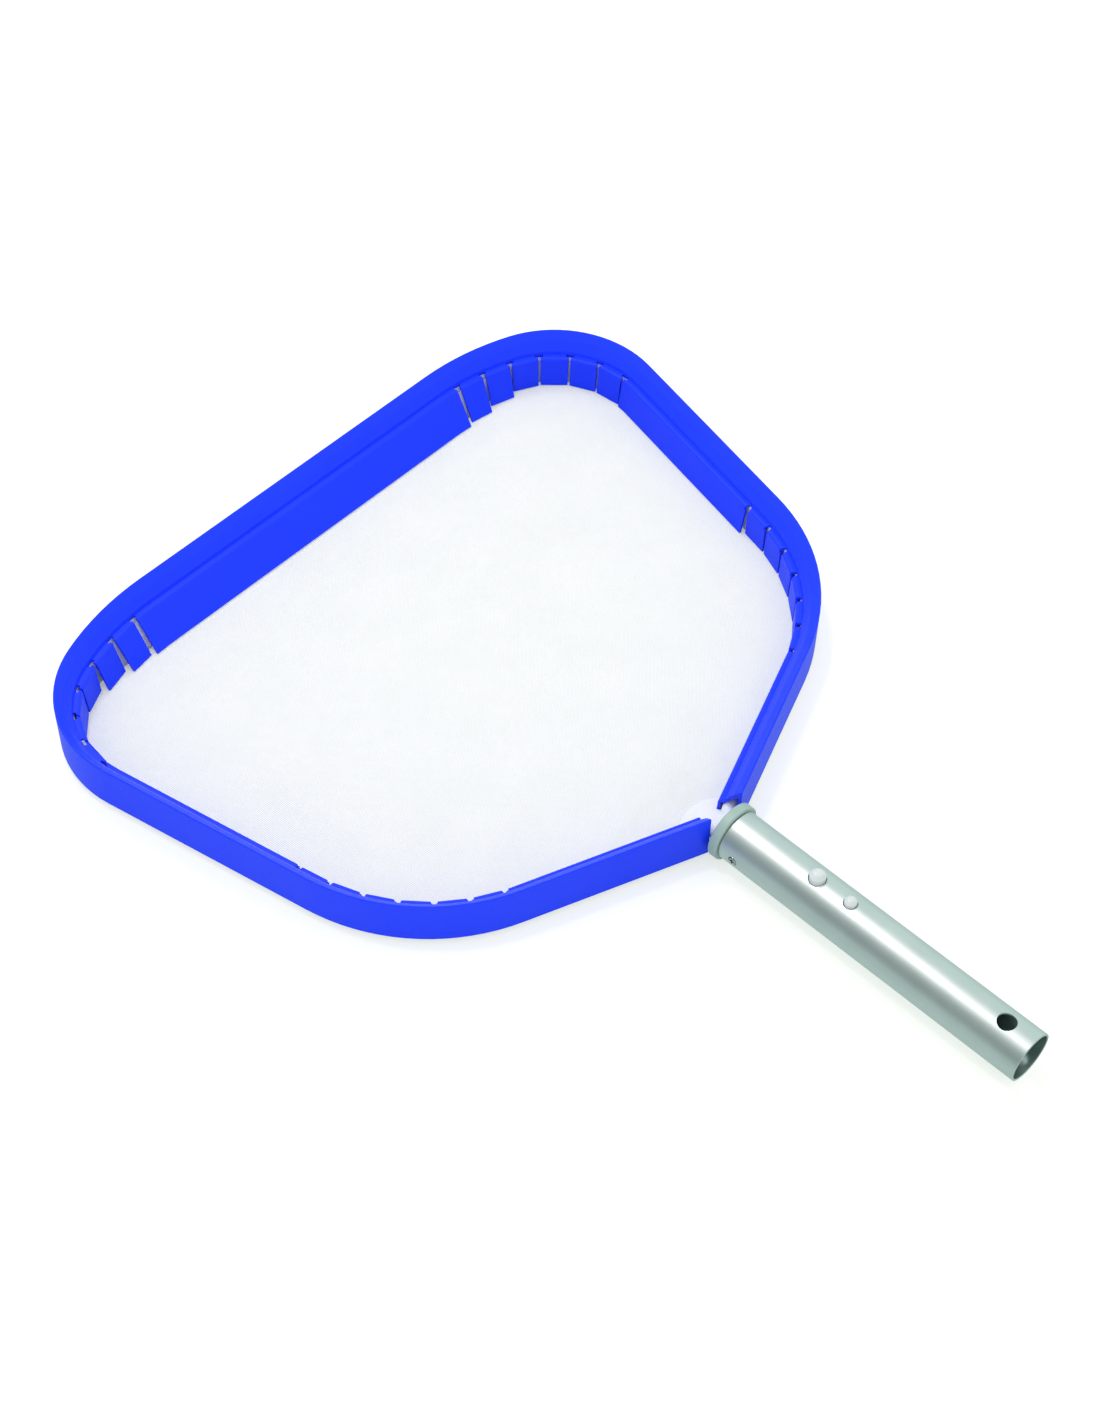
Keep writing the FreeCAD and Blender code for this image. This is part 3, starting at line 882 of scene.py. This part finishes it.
    def settled(self, recipe: Recipe, curves: bpy.types.NodeSocket, level: float) -> bpy.types.NodeSocket:
        """Curves at their height, wandering a little and risen toward the rod's legs.

        Args:
            recipe: The net's tree.
            curves: Socket of the curves.
            level: Share of the crossing height that this run lies above the middle.

        Returns:
            Socket of the moved curves.
        """
        inputs = recipe.inputs
        seed = recipe.first("ShaderNodeCombineXYZ", {"X": inputs["Seed"]})
        spot = recipe.vector_math("ADD", recipe.first("GeometryNodeInputPosition"), seed)
        noise = {"Scale": self.wander_scale, "Detail": 1.0, "Vector": spot}
        loose = recipe.add("ShaderNodeTexNoise", noise).outputs["Color"]
        centred = recipe.vector_math("SUBTRACT", loose, (0.5, 0.5, 0.5))
        drift = recipe.scaled(centred, recipe.math("MULTIPLY", inputs["Wander"], self.wander_gain))
        flat = recipe.vector_math("MULTIPLY", drift, (1.0, 1.0, 0.0))
        thread = inputs["Thread diameter"]
        height = recipe.math("MULTIPLY_ADD", thread, level * self.crossing, inputs["Middle height"])
        height = recipe.math("ADD", height, self.risen(recipe))
        lift = recipe.first("ShaderNodeCombineXYZ", {"Z": height})
        offset = recipe.vector_math("ADD", flat, lift)
        return recipe.first("GeometryNodeSetPosition", {"Geometry": curves, "Offset": offset})

    def risen(self, recipe: Recipe) -> bpy.types.NodeSocket:
        """How far the net has risen at a point."""
        inputs, math_of = recipe.inputs, recipe.math
        spot = recipe.first("GeometryNodeInputPosition")
        axes = recipe.add("ShaderNodeSeparateXYZ", {0: spot}).outputs
        across = math_of("MULTIPLY", axes[0], inputs["Rise narrowing"])
        along = math_of("SUBTRACT", axes[1], inputs["Rise centre"])
        square = math_of("MULTIPLY_ADD", along, along, math_of("MULTIPLY", across, across))
        left = math_of("SUBTRACT", inputs["Rise reach"], math_of("SQRT", square))
        risen = math_of("MULTIPLY", math_of("MAXIMUM", left, 0.0), inputs["Rise slope"])
        return math_of("MINIMUM", risen, inputs["Rise limit"])

    def threads(self, recipe: Recipe, curves: bpy.types.NodeSocket) -> bpy.types.NodeSocket:
        """Round threads on the curves, with closed ends."""
        radius = recipe.math("MULTIPLY", recipe.inputs["Thread diameter"], 0.5)
        round_of = {"Resolution": self.thread_sides, "Radius": radius}
        profile = recipe.first("GeometryNodeCurvePrimitiveCircle", round_of)
        swept = {"Curve": curves, "Profile Curve": profile, "Fill Caps": True}
        return recipe.first("GeometryNodeCurveToMesh", swept)

    def build(self) -> bpy.types.Object:
        """Weave the net.

        Returns:
            The net's object.
        """
        border = self.outline.around(self.inset, self.rise)
        return self.recipe().make("net_threads", line_mesh("net_border", border, closed=True))

    def flat_size(self) -> tuple[tuple[float, float], float]:
        """Width and length of the cut, and its flat area."""
        border = self.outline.around(self.inset, self.rise)
        width = max(point.x for point in border) - min(point.x for point in border)
        length = max(point.y for point in border) - min(point.y for point in border)
        pairs = zip(border, border[1:] + border[:1])
        area = abs(sum(a.x * b.y - b.x * a.y for a, b in pairs)) / 2
        return (width, length), area


@dataclass
class NetHem:
    """The net's doubled edge: a sleeve on the rod, a skirt down to the net, and its rear end.

    The skirt stands nearly upright, and leans inside along the front edge, behind the flange.
    At the rear the cloth is rolled across the rod's two legs, and an apron falls from the roll
    to the net between the rim's ends.
    """

    outline: HeadOutline
    finish: WovenHem
    rise: Rise
    rod_inset: float = 6.2 * MM
    sleeve_radius: float = 3.78 * MM
    sleeve_sides: int = 20
    skin: float = 0.45 * MM
    axis_height: float = 16.8 * MM
    skirt_top: float = 3.3 * MM
    skirt_lean: float = 1.2 * MM
    skirt_drop: float = 16.1 * MM
    skirt_rows: int = 8
    front_lean: float = 9.0 * MM
    lean_curve: float = 0.6
    lean_from: float = 253.0 * MM
    lean_to: float = 260.7 * MM
    roll_radius: float = 3.65 * MM
    roll_half_width: float = 11.0 * MM
    roll_rows: int = 16
    roll_sides: int = 24
    roll_bluntness: int = 5
    roll_ripples: int = 3
    roll_twist: float = 9
    apron_side: tuple[tuple[float, float], ...] = (
        (9.6, -66.4), (9.2, -60.4), (7.2, -58.8), (7.2, -56.4), (10.0, -55.1), (14.0, -53.6), (18.5, -51.8),
    )
    apron_front: float = -44.0 * MM
    apron_lift: float = 0.3 * MM
    apron_steps: int = 30
    rim_end: float = 14.5 * MM
    pucker: float = 0.1 * MM
    pucker_scale: float = 160.0

    def sweep(self, part: HemPart) -> bpy.types.Object:
        """Carry the sleeve's circle or the skirt's line round the head.

        Args:
            part: Sleeve or skirt.

        Returns:
            The swept piece.
        """
        recipe = Recipe(part.value, {
            "Sleeve radius": self.sleeve_radius - self.skin,
            "Axis height": self.axis_height,
            "Skirt top": self.skirt_top,
            "Skirt lean": self.skirt_lean,
            "Skirt drop": self.skirt_drop,
            "Front lean": self.front_lean,
            "Lean from": self.lean_from,
            "Lean to": self.lean_to,
            "Pucker": self.pucker,
        })
        first = recipe.first
        along = self.rod_curve(recipe)
        profile = self.profile(recipe, part)
        swept = first("GeometryNodeCurveToMesh", {"Curve": along[0], "Profile Curve": profile[0]})
        flat = first("ShaderNodeCombineXYZ", {"X": along["along"], "Y": profile["round"]})
        stored = {"Geometry": swept, "Name": "UVMap", "Value": flat}
        mapped = first("GeometryNodeStoreNamedAttribute", stored, data_type="FLOAT2", domain="CORNER")
        noise = first("ShaderNodeTexNoise", {"Scale": self.pucker_scale, "Detail": 2.0})
        swell = recipe.math("MULTIPLY", recipe.math("SUBTRACT", noise, 0.5), recipe.inputs["Pucker"])
        push = recipe.scaled(first("GeometryNodeInputNormal"), swell)
        cloth = first("GeometryNodeSetPosition", {"Geometry": mapped, "Offset": push})
        line = self.outline.rod_line(self.rod_inset)
        if part is HemPart.SKIRT:
            cloth = first("GeometryNodeSetPosition", {"Geometry": cloth, "Offset": self.lean(recipe, along)})
            line = self.outline.rim_line(self.rod_inset, self.rim_end)
        recipe.end(first("GeometryNodeSetShadeSmooth", {"Geometry": cloth}), self.finish.material())
        return recipe.make(part.value, line_mesh(part.value + "_line", line))

    def rod_curve(self, recipe: Recipe) -> Any:
        """Curve on the rod's axis that keeps its length, its inside direction and its place.

        Args:
            recipe: The part's tree.

        Returns:
            Outputs: the curve first, then "along", "inside" and "place".
        """
        first = recipe.first
        lift = first("ShaderNodeCombineXYZ", {"Z": recipe.inputs["Axis height"]})
        line = first("GeometryNodeMeshToCurve", {"Mesh": recipe.inputs["Geometry"]})
        line = first("GeometryNodeSetPosition", {"Geometry": line, "Offset": lift})
        upright = first("GeometryNodeSetCurveNormal", {"Curve": line}, mode="Z_UP")
        return self.captured(recipe, upright, {
            "along": ("FLOAT", recipe.add("GeometryNodeSplineParameter").outputs["Length"]),
            "inside": ("VECTOR", recipe.add("GeometryNodeInputNormal").outputs["Normal"]),
            "place": ("VECTOR", first("GeometryNodeInputPosition")),
        })

    def profile(self, recipe: Recipe, part: HemPart) -> Any:
        """Circle of the sleeve or line of the skirt, X to the inside and Y down.

        Args:
            recipe: The part's tree.
            part: Sleeve or skirt.

        Returns:
            Outputs: the profile's curve first, then "round".
        """
        first, inputs = recipe.first, recipe.inputs
        if part is HemPart.SKIRT:
            inner = recipe.math("ADD", inputs["Skirt top"], inputs["Skirt lean"])
            low = first("ShaderNodeCombineXYZ", {"X": inner, "Y": inputs["Skirt drop"]})
            top = first("ShaderNodeCombineXYZ", {"X": inputs["Skirt top"]})
            line = first("GeometryNodeCurvePrimitiveLine", {"Start": top, "End": low})
            rows = {"Curve": line, "Count": self.skirt_rows}
            profile = first("GeometryNodeResampleCurve", rows, mode="COUNT")
        else:
            round_of = {"Resolution": self.sleeve_sides, "Radius": inputs["Sleeve radius"]}
            profile = first("GeometryNodeCurvePrimitiveCircle", round_of)
        length = recipe.add("GeometryNodeSplineParameter").outputs["Length"]
        return self.captured(recipe, profile, {"round": ("FLOAT", length)})

    def captured(self, recipe: Recipe, geometry: bpy.types.NodeSocket,
                 values: dict[str, tuple[str, bpy.types.NodeSocket]]) -> Any:
        """Keep values on a geometry's points.

        Args:
            recipe: The part's tree.
            geometry: Geometry to keep them on.
            values: Type and socket of each value, by name.

        Returns:
            Outputs: the geometry first, then each value by its name.
        """
        node = recipe.add("GeometryNodeCaptureAttribute", {"Geometry": geometry}, domain="POINT")
        for name, (kind, value) in values.items():
            node.capture_items.new(kind, name)
            recipe.tree.links.new(value, node.inputs[name])
        return node.outputs

    def lean(self, recipe: Recipe, along: Any) -> bpy.types.NodeSocket:
        """Move of the skirt to the inside along the front edge, more the lower it is.

        Args:
            recipe: The skirt's tree.
            along: Outputs of the rod's curve.

        Returns:
            Socket of the move.
        """
        inputs, math_of = recipe.inputs, recipe.math
        place = recipe.add("ShaderNodeSeparateXYZ", {0: recipe.first("GeometryNodeInputPosition")}).outputs
        forward = recipe.add("ShaderNodeSeparateXYZ", {0: along["place"]}).outputs[1]
        near = recipe.first("ShaderNodeMapRange", {0: forward, 1: inputs["Lean from"], 2: inputs["Lean to"]})
        depth = math_of("DIVIDE", math_of("SUBTRACT", inputs["Axis height"], place[2]), inputs["Skirt drop"])
        curved = math_of("POWER", math_of("MAXIMUM", depth, 0.0), self.lean_curve)
        reach = math_of("MULTIPLY", curved, near)
        return recipe.scaled(along["inside"], math_of("MULTIPLY", reach, inputs["Front lean"]))

    def roll(self) -> bpy.types.Object:
        """Cloth rolled across the rod's two legs, against the collar."""
        points = []
        for row in range(self.roll_rows + 1):
            share = 2 * row / self.roll_rows - 1
            radius = self.roll_radius * (1 - abs(share) ** self.roll_bluntness) ** 0.5
            for side in range(self.roll_sides):
                angle = 2 * math.pi * side / self.roll_sides
                wave = math.sin(self.roll_ripples * angle + self.roll_twist * share)
                ripple = radius + self.pucker * wave
                y = self.rise.centre_y + ripple * math.cos(angle)
                points.append((self.roll_half_width * share, y, self.axis_height + ripple * math.sin(angle)))
        return self.cloth("hem_roll", points, self.roll_rows + 1, self.roll_sides, wrapped=True)

    def apron(self) -> bpy.types.Object:
        """Cloth that falls from the roll to the net between the rim's ends."""
        steps = self.apron_steps
        first_y = self.apron_side[0][1] * MM
        points = []
        for row in range(steps + 1):
            place = row / steps * (len(self.apron_side) - 1)
            index = min(int(place), len(self.apron_side) - 2)
            low, high = (Vector((*pair, 0)) * MM for pair in self.apron_side[index:index + 2])
            edge = low.lerp(high, place - index)
            middle_y = first_y + (self.apron_front - first_y) * row / steps
            for column in range(steps + 1):
                share = 2 * column / steps - 1
                x = edge.x * share
                y = middle_y + (edge.y - middle_y) * share ** 2
                points.append((x, y, self.rise.height(x, y) + self.apron_lift))
        return self.cloth("hem_apron", points, steps + 1, steps + 1, wrapped=False)

    def cloth(self, name: str, points: list[tuple[float, float, float]], rows: int, columns: int,
              wrapped: bool) -> bpy.types.Object:
        """Smooth sheet over a grid of points, with its map in metres.

        Args:
            name: Name of the piece.
            points: Points, row by row.
            rows: Number of rows.
            columns: Number of points in a row.
            wrapped: Whether each row closes on itself.

        Returns:
            The sheet's object.
        """
        faces = []
        for row in range(rows - 1):
            for column in range(columns if wrapped else columns - 1):
                near = row * columns + column
                side = row * columns + (column + 1) % columns
                faces.append((near, side, side + columns, near + columns))
        mesh = bpy.data.meshes.new(name)
        mesh.from_pydata(points, [], faces)
        close_poles(mesh)
        mesh.shade_smooth()
        layer = mesh.uv_layers.new(name="UVMap")
        for loop in mesh.loops:
            x, y, z = mesh.vertices[loop.vertex_index].co
            layer.data[loop.index].uv = (x, z) if wrapped else (x, y)
        mesh.materials.append(self.finish.material())
        piece = bpy.data.objects.new(name, mesh)
        bpy.context.scene.collection.objects.link(piece)
        return piece

    def build(self) -> list[bpy.types.Object]:
        """Make the sleeve, the skirt, the roll and the apron, with the cloth's thickness."""
        pieces = [self.roll(), self.apron()]
        pieces[1].modifiers.new("cloth", "SOLIDIFY").thickness = self.skin
        for part in HemPart:
            piece = self.sweep(part)
            wall = piece.modifiers.new("cloth", "SOLIDIFY")
            wall.thickness = self.skin
            wall.offset = 0.0 if part is HemPart.SKIRT else 1.0
            wall.use_even_offset = True
            pieces.append(piece)
        return pieces


@dataclass
class Dressing:
    """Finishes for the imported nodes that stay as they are."""

    finishes: dict[str, Finish] = field(default_factory=dict)

    def apply(self) -> None:
        """Put each finish on its node."""
        made: dict[str, bpy.types.Material] = {}
        for node, finish in self.finishes.items():
            if finish.name not in made:
                made[finish.name] = finish.material()
            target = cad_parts[node]
            target.data.materials.clear()
            target.data.materials.append(made[finish.name])
            log.info("%s: finish %s", node, finish.name)


@dataclass
class PhotoCamera:
    """Camera at the photograph's place, in metres and pixels of a 1100 by 1422 picture."""

    place: Vector = field(default_factory=lambda: Vector((-0.65209, -0.54006, 1.12385)))
    right: Vector = field(default_factory=lambda: Vector((0.70218, -0.71200, -0.00105)))
    up: Vector = field(default_factory=lambda: Vector((0.55801, 0.54941, 0.62191)))
    back: Vector = field(default_factory=lambda: Vector((-0.44222, -0.43728, 0.78309)))
    focal_pixels: float = 2612.69
    middle: tuple[float, float] = (488.35, 700.04)
    picture: tuple[int, int] = (1100, 1422)

    def build(self) -> bpy.types.Object:
        """Make the camera and look through it.

        Returns:
            The camera's object.
        """
        data = bpy.data.cameras.new("photo_camera")
        width, height = self.picture
        data.lens = self.focal_pixels / height * data.sensor_width
        data.shift_x = (width / 2 - self.middle[0]) / height
        data.shift_y = (self.middle[1] - height / 2) / height
        camera = bpy.data.objects.new("photo_camera", data)
        turned = Matrix((self.right, self.up, self.back)).transposed().to_4x4()
        camera.matrix_world = Matrix.Translation(self.place) @ turned
        bpy.context.scene.collection.objects.link(camera)
        bpy.context.scene.camera = camera
        return camera


@dataclass
class Studio:
    """White floor, a pale tent of light and two soft lamps."""

    floor_size: float = 12.0
    floor_white: float = 0.8
    shade_lift: Colour = (0.56, 0.6, 0.56)
    shade_depth: Colour = (0.57, 0.54, 0.54)
    tint: Colour = (0.8, 1.0, 0.96)
    floor_mirrored: float = 0.66
    tent_low: float = 1.21
    tent_high: float = 0.86
    tent_top: float = 0.9
    mirrored_left: float = 0.31
    mirrored_right: float = 0.84
    mirrored_top: float = 0.55
    mirrored_from: Vector = field(default_factory=lambda: Vector((0.06, 0.4, 0.9)))
    mirrored_edge: tuple[float, float] = (0.74, 0.98)
    mirrored_reach: float = 0.9
    top_power: float = 6.0
    top_place: Vector = field(default_factory=lambda: Vector((-0.28, 0.5, 2.11)))
    top_size: float = 0.16
    side_power: float = 9.0
    side_place: Vector = field(default_factory=lambda: Vector((0.32, 0.99, 1.98)))
    side_size: float = 0.3

    def floor(self) -> None:
        """Plain floor that shows white, keeps the object's shadow, and is no part of the object."""
        half = self.floor_size / 2
        corners = [(-half, -half, 0), (half, -half, 0), (half, half, 0), (-half, half, 0)]
        mesh = bpy.data.meshes.new("studio_floor")
        mesh.from_pydata(corners, [], [(0, 1, 2, 3)])
        floor = bpy.data.objects.new("studio_floor", mesh)
        bpy.context.scene.collection.objects.link(floor)
        material = bpy.data.materials.new("studio_floor")
        material.use_nodes = True
        graph = Graph(material.node_tree)
        path = graph.add("ShaderNodeLightPath").outputs
        seen = graph.math("MAXIMUM", path["Is Camera Ray"], path["Is Transmission Ray"])
        colour = graph.mixed(seen, (self.floor_white,) * 3, self.shade_depth)
        matt = graph.first("ShaderNodeBsdfDiffuse", {"Color": colour})
        glow = graph.first("ShaderNodeEmission", {"Color": self.shade_lift, "Strength": seen})
        both = graph.first("ShaderNodeAddShader", {0: matt, 1: glow})
        flat = graph.first("ShaderNodeEmission", {"Color": self.tint, "Strength": self.floor_mirrored})
        shown = graph.first("ShaderNodeMixShader", {0: path["Is Glossy Ray"], 1: both, 2: flat})
        graph.add("ShaderNodeOutputMaterial", {"Surface": shown})
        mesh.materials.append(material)
        floor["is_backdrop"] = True

    def sky(self) -> None:
        """Surroundings: white to the eye, an even tent of light, and a softbox in reflections."""
        world = bpy.data.worlds.new("studio")
        world.use_nodes = True
        bpy.context.scene.world = world
        graph = Graph(world.node_tree)
        place = graph.add("ShaderNodeTexCoord").outputs["Generated"]
        axes = graph.add("ShaderNodeSeparateXYZ", {0: place}).outputs
        path = graph.add("ShaderNodeLightPath").outputs
        upward = {0: axes[2], 1: 0.0, 2: self.tent_top, 3: self.tent_low, 4: self.tent_high}
        tent = graph.first("ShaderNodeMapRange", upward)
        toward = {0: place, 1: self.mirrored_from.normalized()}
        facing = graph.add("ShaderNodeVectorMath", toward, operation="DOT_PRODUCT").outputs[1]
        edge = dict(enumerate((facing, *self.mirrored_edge)))
        lobe = graph.first("ShaderNodeMapRange", edge, interpolation_type="SMOOTHSTEP")
        ends = (axes[0], -self.mirrored_reach, self.mirrored_reach, self.mirrored_left, self.mirrored_right)
        side = graph.first("ShaderNodeMapRange", dict(enumerate(ends)))
        mirrored = graph.mixed(lobe, graph.scaled(self.tint, side), (self.mirrored_top,) * 3)
        lit = graph.mixed(path["Is Glossy Ray"], tent, mirrored)
        shown = graph.mixed(path["Is Camera Ray"], lit, (1.0, 1.0, 1.0))
        back = graph.add("ShaderNodeBackground", {"Color": shown})
        graph.add("ShaderNodeOutputWorld", {"Surface": back.outputs[0]})

    def lamp(self, name: str, place: Vector, power: float, size: float) -> None:
        """Add a soft square lamp that looks at the object.

        Args:
            name: Name of the lamp.
            place: Where it hangs.
            power: Watts.
            size: Its side.
        """
        data = bpy.data.lights.new(name, "AREA")
        data.shape = "SQUARE"
        data.size = size
        data.energy = power
        lamp = bpy.data.objects.new(name, data)
        lamp.location = place
        lamp.rotation_mode = "QUATERNION"
        lamp.rotation_quaternion = (-place).to_track_quat("-Z", "Y")
        bpy.context.scene.collection.objects.link(lamp)

    def build(self) -> None:
        """Set up the floor, the surroundings and the lamps."""
        self.floor()
        self.sky()
        self.lamp("top", self.top_place, self.top_power, self.top_size)
        self.lamp("side", self.side_place, self.side_power, self.side_size)
        bpy.context.scene.view_settings.view_transform = "Standard"


def finishes() -> dict[str, Finish]:
    """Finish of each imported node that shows."""
    rim = ExtrudedPlastic("royal_blue_rim", linear(22, 60, 255), linear(12, 46, 253))
    collar = MouldedPlastic("sage_grey_collar", linear(156, 182, 175), linear(140, 166, 159))
    button = MouldedPlastic("white_button", linear(208, 218, 217), linear(196, 207, 206), 0.32)
    # Painted shade for the inside of the tube's mouth.
    painted_bore_shade = linear(165, 184, 180)
    tube = SatinMetal("satin_tube", linear(224, 230, 228), linear(210, 218, 215), 0.44, painted_bore_shade=painted_bore_shade)
    screw = SatinMetal("bright_screw", linear(200, 204, 206), linear(160, 165, 168), 0.22)
    rod = SatinMetal("hoop_rod", linear(190, 194, 198), linear(160, 165, 170), 0.3)
    clip = SatinMetal("clip_steel", linear(176, 180, 186), linear(140, 146, 152), 0.28)
    return {
        "rim_profile": rim,
        "hoop_rod": rod,
        "collar_plug": collar,
        "handle_tube": tube,
        "side_screws": screw,
        "large_lock_button": button,
        "small_lock_button": button,
        "large_button_clip": clip,
        "small_button_clip": clip,
    }


def main() -> None:
    logging.basicConfig(level=logging.INFO, format="%(name)s: %(message)s")
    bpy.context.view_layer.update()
    PhotoCamera().build()
    Studio().build()
    outline = HeadOutline()
    Dressing(finishes()).apply()
    rise = Rise()
    thread = NetThread("white_thread", linear(244, 246, 248), linear(232, 236, 240))
    net_weave = WovenNet(outline, thread, rise)
    net = net_weave.build()
    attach(net, Body.SKIMMER.value)
    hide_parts("net_mesh")
    hem_cloth = WovenHem("white_hem", linear(240, 242, 250), linear(212, 216, 236))
    hem = NetHem(outline, hem_cloth, rise).build()
    for piece in hem:
        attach(piece, Body.SKIMMER.value)
        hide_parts("net_hem")
    flat, area = net_weave.flat_size()
    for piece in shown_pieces():
        log.info("%s: %d faces", piece.name, len(piece.data.polygons))


if __name__ == "__main__":
    main()
